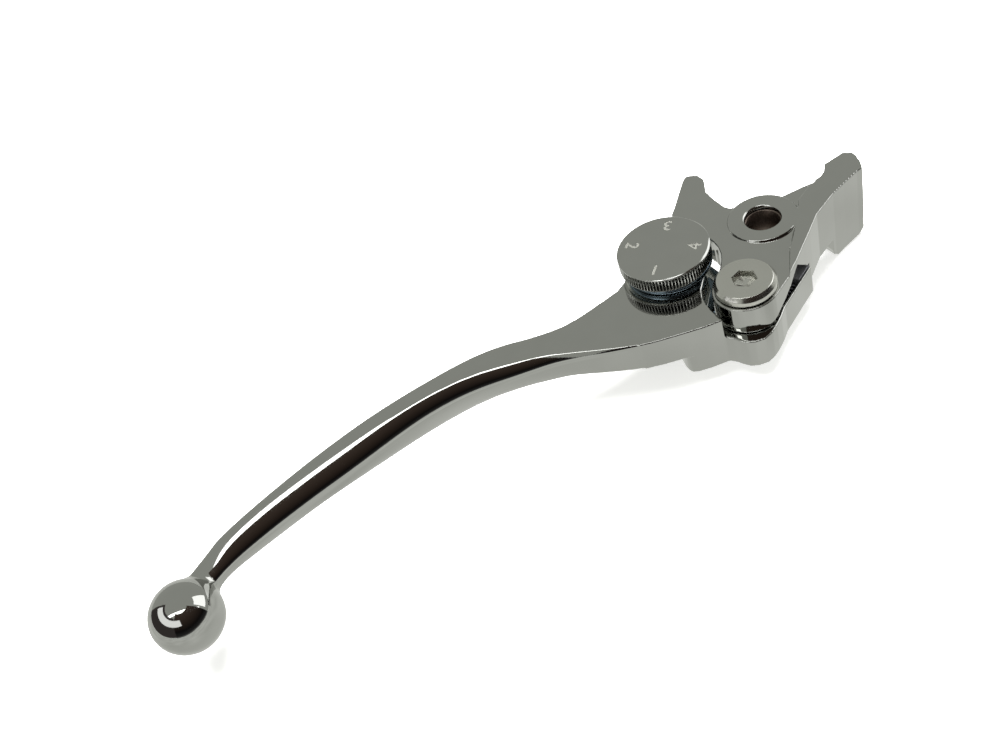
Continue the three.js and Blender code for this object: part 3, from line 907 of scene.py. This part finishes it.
def shaded_card(name, tones, low, high):
    """A card whose glow follows its height: tones is a list of (share, colour)."""
    made = emitter(name, WHITE, 1.0)
    tree = made.node_tree
    place = tree.nodes.new("ShaderNodeTexCoord").outputs["Object"]
    split = tree.nodes.new("ShaderNodeSeparateXYZ")
    tree.links.new(place, split.inputs["Vector"])
    ramp = tree.nodes.new("ShaderNodeValToRGB")
    while len(ramp.color_ramp.elements) < len(tones):
        ramp.color_ramp.elements.new(0.5)
    for element, (share, colour) in zip(ramp.color_ramp.elements, tones):
        element.position = share
        element.color = (*colour, 1)
    tree.links.new(scaled(tree, split.outputs["Z"], low, high), ramp.inputs["Fac"])
    glow = next(node for node in tree.nodes if node.type == "EMISSION")
    tree.links.new(ramp.outputs["Color"], glow.inputs["Color"])
    return made


def apron(level):
    """What the walls see of the table: a paler or darker sheet, in reflections only."""
    made = emitter("apron_glow", WHITE, 1.0)
    tree = made.node_tree
    place = tree.nodes.new("ShaderNodeTexCoord").outputs["Object"]
    mix = tree.nodes.new("ShaderNodeMix")
    mix.data_type = "RGBA"
    tree.links.new(spread(tree, noise(tree, place, 28.0, 1.0), 0.0, 1.0), mix.inputs["Factor"])
    mix.inputs["A"].default_value = (0.66, 0.67, 0.63, 1)
    mix.inputs["B"].default_value = (0.86, 0.87, 0.83, 1)
    glow = next(node for node in tree.nodes if node.type == "EMISSION")
    tree.links.new(mix.outputs["Result"], glow.inputs["Color"])
    bm = bmesh.new()
    bmesh.ops.create_grid(bm, x_segments=8, y_segments=8, size=1.5)
    bmesh.ops.translate(bm, verts=bm.verts, vec=(0, 0, level))
    sheet = object_from("apron", bm)
    sheet.data.materials.append(made)
    only_in_reflections(sheet)


def floor():
    made = bpy.data.materials.new("pale_floor")
    made.use_nodes = True
    tree = made.node_tree
    shader = tree.nodes["Principled BSDF"]
    shader.inputs["Roughness"].default_value = 0.9
    shader.inputs["Specular IOR Level"].default_value = 0.0
    mix = tree.nodes.new("ShaderNodeMix")
    mix.data_type = "RGBA"
    place = tree.nodes.new("ShaderNodeTexCoord").outputs["Object"]
    tree.links.new(noise(tree, place, 3.0), mix.inputs["Factor"])
    mix.inputs["A"].default_value = (0.9, 0.9, 0.895, 1)
    mix.inputs["B"].default_value = (0.93, 0.93, 0.925, 1)
    tree.links.new(mix.outputs["Result"], shader.inputs["Base Color"])
    tree.links.new(mix.outputs["Result"], shader.inputs["Emission Color"])
    shader.inputs["Emission Strength"].default_value = 0.6
    bm = bmesh.new()
    bmesh.ops.create_grid(bm, x_segments=24, y_segments=24, size=4.0)
    level = cad_box[0].z - FLOOR_GAP
    bmesh.ops.translate(bm, verts=bm.verts, vec=(0, 0, level))
    ground = object_from("floor", bm)
    ground.data.materials.append(made)
    apron(level + APRON_LIFT)


def softbox(name, location, target, size, power):
    """A rectangular lamp that lights the floor and doesn't show in the metal."""
    light = bpy.data.lights.new(name, "AREA")
    light.shape = "RECTANGLE"
    light.size, light.size_y = size
    light.energy = power
    made = bpy.data.objects.new(name, light)
    bpy.context.scene.collection.objects.link(made)
    made.location = location
    made.rotation_euler = (Vector(target) - Vector(location)).to_track_quat("-Z", "Y").to_euler()
    made.visible_glossy = False
    made.visible_camera = False


def cards():
    """The dark table edge, lamps and window that the polished metal mirrors."""
    dark = shaded_card("dark_card", [
        (0.0, (0.5, 0.5, 0.48)), (0.16, (0.34, 0.34, 0.32)), (0.26, (0.03, 0.03, 0.03)),
        (0.45, (0.008, 0.007, 0.007)), (0.75, (0.04, 0.028, 0.022)), (1.0, (0.07, 0.05, 0.04)),
    ], -0.2, 0.8)
    lamp = emitter("lamp_card", WHITE, 5.0)
    side = emitter("side_card", WHITE, 2.2)
    front = emitter("front_card", WHITE, 1.5)
    reflected_card("dark_front", dark, (-36, 76), (-12, 66))
    flag = emitter("flag_card", (0.06, 0.052, 0.05), 1.0)
    by_ball = (BALL_X * MM, BALL_Y * MM)
    reflected_card("ball_flag", flag, (-122, -30), (6, 58), 0.13, by_ball)
    reflected_card("ball_window", front, (-116, -2), (35, 52), 0.12, by_ball)
    lamp_strip(lamp)
    reflected_card("side_window", side, (84, 122), (12, 48))


def studio():
    world = bpy.data.worlds.new("studio")
    bpy.context.scene.world = world
    world.use_nodes = True
    sky = world.node_tree.nodes["Background"]
    sky.inputs["Color"].default_value = (0.98, 1.0, 0.93, 1)
    sky.inputs["Strength"].default_value = 0.48
    cards()
    softbox("overhead", (-0.05, 0.3, 0.75), (*LEVER_MIDDLE, 0.0), (0.9, 0.7), 24.0)
    floor()


LENS, SENSOR = 36.0, 36.0
CAMERA_PLACE = Vector((-109.7, -158.25, 179.14)) * MM
CAMERA_RIGHT = Vector((0.8324, -0.4741, -0.2870))
CAMERA_UP = Vector((0.5337, 0.5461, 0.6458))


def camera():
    data = bpy.data.cameras.new("camera")
    data.lens = LENS
    data.sensor_width = SENSOR
    data.clip_start = 0.01
    made = bpy.data.objects.new("camera", data)
    bpy.context.scene.collection.objects.link(made)
    back = CAMERA_RIGHT.cross(CAMERA_UP).normalized()
    up = back.cross(CAMERA_RIGHT).normalized()
    turn = Matrix((CAMERA_RIGHT, up, back)).transposed().to_4x4()
    made.matrix_world = Matrix.Translation(CAMERA_PLACE) @ turn
    bpy.context.scene.camera = made


# ---- build -------------------------------------------------------------------------
blade()
knocker()
hinge_bolt()
hinge_nut()
pivot_collar()
reach_spring()
spring_plunger()
dial_cap()
dial_cam()
dial_spindle()
dial_spring_washer()
carried_over()
studio()
camera()
bpy.context.scene.view_settings.view_transform = "Standard"
